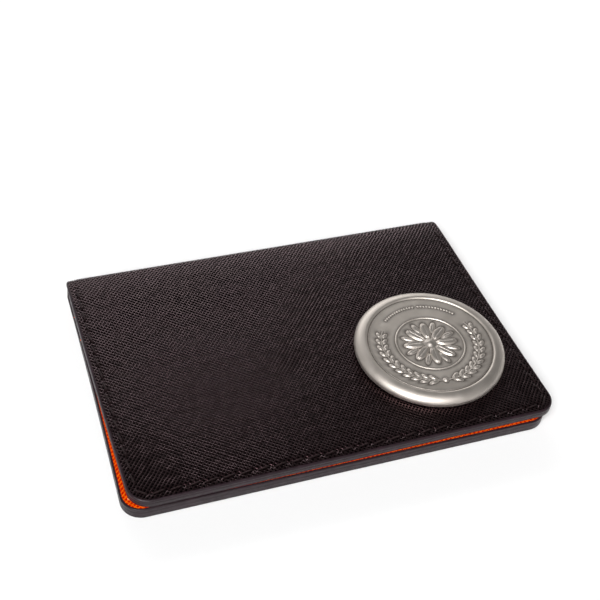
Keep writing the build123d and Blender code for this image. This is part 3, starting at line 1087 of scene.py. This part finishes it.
def leaf(p, spot, long, wide, turn, tall, vein=0.07):
    """A raised leaf with a groove along its middle."""
    across = p - np.array(spot)
    x = across[:, 0] * math.cos(turn) + across[:, 1] * math.sin(turn)
    y = across[:, 1] * math.cos(turn) - across[:, 0] * math.sin(turn)
    distance = (np.hypot(x / long, y / wide) - 1) * min(long, wide)
    return distance, tall, 0.4, vein * np.exp(-((y / 0.1) ** 2))


def rosette(p):
    """Eight grooved petals over eight short ones, with a domed heart, in a thin ring."""
    away = np.hypot(p[:, 0], p[:, 1])
    shapes = [(away - 1.75, 0.6, 1.5, 0.0), (np.abs(away - 8.7) - 0.2, 0.2, 0.2, 0.0)]
    for k in range(8):
        long_turn, short_turn = 45 * k, 45 * k + 22.5
        shapes.append(leaf(p, on_circle(4.2, long_turn), 2.75, 1.2, math.radians(long_turn), 0.42, 0.12))
        shapes.append(leaf(p, on_circle(5.5, short_turn), 1.95, 0.75, math.radians(short_turn), 0.26))
    return shapes


def sprig(p, side):
    shapes = []
    for k in range(11):
        degrees = -90 + side * (14 + k * 9.6)
        for off in (-1, 1):
            turn = math.radians(degrees) + side * (math.pi / 2 - off * 0.5)
            shapes.append(leaf(p, on_circle(SPRIG_R + off * 0.72, degrees), 1.35 - 0.03 * k, 0.5, turn, 0.34))
    return shapes


def sprig_stem(p):
    from_foot = np.abs(np.degrees(np.arctan2(p[:, 0], -p[:, 1])))
    stem = np.abs(np.hypot(p[:, 0], p[:, 1]) - SPRIG_R) - 0.15 + 9 * (from_foot > 118)
    return [(stem, 0.16, 0.15, 0.0), (np.hypot(p[:, 0], p[:, 1] + SPRIG_R) - 0.75, 0.4, 0.6, 0.0)]


def beads(p, side):
    spots = [on_circle(BEAD_R, 90 + side * (3.3 + k * 3.4)) for k in range(13)]
    return [(np.hypot(p[:, 0] - x, p[:, 1] - y) - 0.33, 0.28, 0.3, 0.0) for x, y in spots]


def relief(p):
    """Height of the cast relief and the distance to its nearest shape.

    A shape is its signed distance, its height, the width of its soft edge and the depth of its groove.
    """
    shapes = rosette(p) + sprig(p, -1) + sprig(p, 1) + beads(p, -1) + beads(p, 1) + sprig_stem(p)
    raised = [tall * smooth(-away / edge) - np.where(away < 0, cut, 0) for away, tall, edge, cut in shapes]
    return np.maximum(np.maximum.reduce(raised), 0), np.minimum.reduce([shape[0] for shape in shapes])


def rim_rings():
    """Radius, height and tone of the rings from the underside to the field's edge."""
    rings = [(17.0, 0.0, -1), (18.4, 0.02, -1), (18.68, 0.12, -0.7), (18.88, 0.32, -0.3), (18.97, 0.6, 0.1)]
    for a in np.linspace(1, 0.04, 22) * math.pi / 2:
        rings.append((16.2 + 2.78 * math.sin(a), 0.95 + 1.82 * math.cos(a), 0.45))
    for r, rise, tone in ((16.05, 0.18, 0.0), (15.92, 0.06, -0.3), (15.82, -0.1, -0.8), (15.72, -0.15, -1.0),
                          (15.62, -0.11, -0.9), (15.56, -0.03, -0.5)):
        rings.append((r, FIELD_Z + rise, tone))
    return rings


def medal_mesh():
    """Points and tones of the disc, ring by ring from its underside to its middle."""
    angles = circle(MEDAL_POINTS)
    around = np.column_stack([np.cos(angles), np.sin(angles)])
    rim = rim_rings()
    rim_points = [np.column_stack([r * around, np.full(MEDAL_POINTS, z)]) for r, z, _ in rim]
    radii = np.linspace(FIELD_R, 0.12, 118)
    field = np.vstack([r * around for r in radii])
    tall, nearest = relief(field)
    lumps = 0.02 * np.sin(field[:, 0] * 1.3 + 1) * np.sin(field[:, 1] * 1.1)
    tone = np.where(nearest < 0, smooth(-nearest / 0.35), -1.1 * np.exp(-nearest / 0.48))
    tone = np.minimum(tone, 1) - 0.7 * np.exp(-np.repeat(FIELD_R - radii, MEDAL_POINTS) / 0.5)
    verts = np.vstack(rim_points + [np.column_stack([field, FIELD_Z + tall + lumps])])
    return verts, np.concatenate([np.repeat([ring[2] for ring in rim], MEDAL_POINTS), tone])


def make_medallion():
    """A cast disc with a domed rim and a relief, turned a little on the cover."""
    verts, tone = medal_mesh()
    centre = (np.array(MEDAL_LOW) + MEDAL_HIGH) / 2
    x, y, rise = warp_cover(centre[None])[0] - (0, 0, centre[2])
    c, s = math.cos(math.radians(-6)), math.sin(math.radians(-6))
    placed = np.column_stack([x + verts[:, 0] * c - verts[:, 1] * s, y + verts[:, 0] * s + verts[:, 1] * c,
                              verts[:, 2] + MEDAL_LOW[2] + rise])
    faces = tube_faces(len(verts) // MEDAL_POINTS, MEDAL_POINTS)
    obj = add_mesh("medallion_relief", placed, faces, PEWTER, placed[:, :2], sharp=75, tone=tone)
    settle(obj, "cover", "medallion")


# ---- build
make_outer_leather()
make_front_pocket()
make_rear_pocket()
make_mouth_edge("front_pocket_cut_edge", FRONT_MOUTH, front_face, FRONT_TOP - FRONT_LOW)
make_mouth_edge("rear_pocket_cut_edge", REAR_MOUTH, rear_face, REAR_TOP - REAR_LOW)
make_lining()
make_window_panel()
make_panel_edges()
make_film()
make_card()
edge_band("back", back_low_at, back_top_at, OUTER_FACE, INNER_FACE, (0.9, 1.4, 2.4), warp_back)
edge_band("cover", cover_low_at, cover_top_at, INNER_FACE, OUTER_FACE, (4.15, 5.1), warp_cover)
make_core("back_board_core", "back_board", "back", BOARD, warp_back)
make_core("cover_board_core", "cover_board", "cover", BOARD, warp_cover)
make_core("rear_pocket_cloth", "rear_pocket_fabric", "back", FABRIC, warp_back)
make_spine_edges()
make_stitching()
make_spine_stitching()
make_medallion()

pad = frame["nodes"]["medallion_adhesive_pad"].data
pad.materials.clear()
pad.materials.append(GLUE)


# ---- stage
def make_floor():
    made, tree, shader = material("studio_floor")
    feed(tree, shader, {"Base Color": (0.86, 0.86, 0.86), "Roughness": 0.9, "Specular IOR Level": 0.1})
    corners = 3000.0 * np.array([(-1, -1, 0), (1, -1, 0), (1, 1, 0), (-1, 1, 0)])
    obj = add_mesh("studio_floor", corners, [(0, 1, 2, 3)], made, corners[:, :2])
    obj.location.z = -0.00003


def add_light(name, kind, ahead, energy):
    data = bpy.data.lights.new(name, kind)
    data.energy = energy
    obj = add_object(name, data)
    obj.rotation_mode = "QUATERNION"
    obj.rotation_quaternion = Vector(ahead).to_track_quat("-Z", "Y")
    return obj


def make_lights():
    key = add_light("key", "SUN", (0.55, 0.7, -1.0), 4.25)
    key.data.angle = math.radians(40)
    place = Vector((0.12, 1.22, 0.56))
    softbox = add_light("back_softbox", "AREA", -place, 4.2)
    softbox.location = place
    softbox.data.shape = "RECTANGLE"
    softbox.data.size, softbox.data.size_y = 1.05, 0.16


def make_world():
    world = bpy.data.worlds.new("studio")
    bpy.context.scene.world = world
    world.use_nodes = True
    tree = world.node_tree
    tree.nodes.clear()
    split = add_node(tree, "SeparateXYZ")
    feed(tree, split, (add_node(tree, "TexCoord").outputs["Generated"],))
    around = ramp(tree, split.outputs[2], 0.25, 0.55, 0.55, 0.06)
    seen = calc(tree, "MAXIMUM", around, add_node(tree, "LightPath").outputs["Is Camera Ray"])
    backdrop = feed(tree, add_node(tree, "Background"), {"Color": (1, 1, 1), "Strength": seen})
    feed(tree, add_node(tree, "OutputWorld"), {"Surface": backdrop})


make_floor()
make_world()
make_lights()
view_settings = bpy.context.scene.view_settings
view_settings.view_transform = "Standard"
view_settings.look = "None"

# ---- camera
CAMERA_SPOT = (-77.97, -172.72, 203.26)
CAMERA_RIGHT = (0.97141361, -0.23734321, -0.00487836)
CAMERA_AIM = (0.2926, 0.6646, -0.7028)
CAMERA_LENS = 65.6


def make_camera():
    data = bpy.data.cameras.new("camera")
    data.sensor_width = 36.0
    data.lens = CAMERA_LENS
    data.clip_start, data.clip_end = 0.01, 20.0
    obj = add_object("camera", data)
    obj.location = Vector(CAMERA_SPOT) * MM
    ahead, right = Vector(CAMERA_AIM).normalized(), Vector(CAMERA_RIGHT)
    right = (right - ahead * right.dot(ahead)).normalized()
    obj.rotation_mode = "QUATERNION"
    obj.rotation_quaternion = Matrix((right, right.cross(ahead), -ahead)).transposed().to_quaternion()
    bpy.context.scene.camera = obj


make_camera()
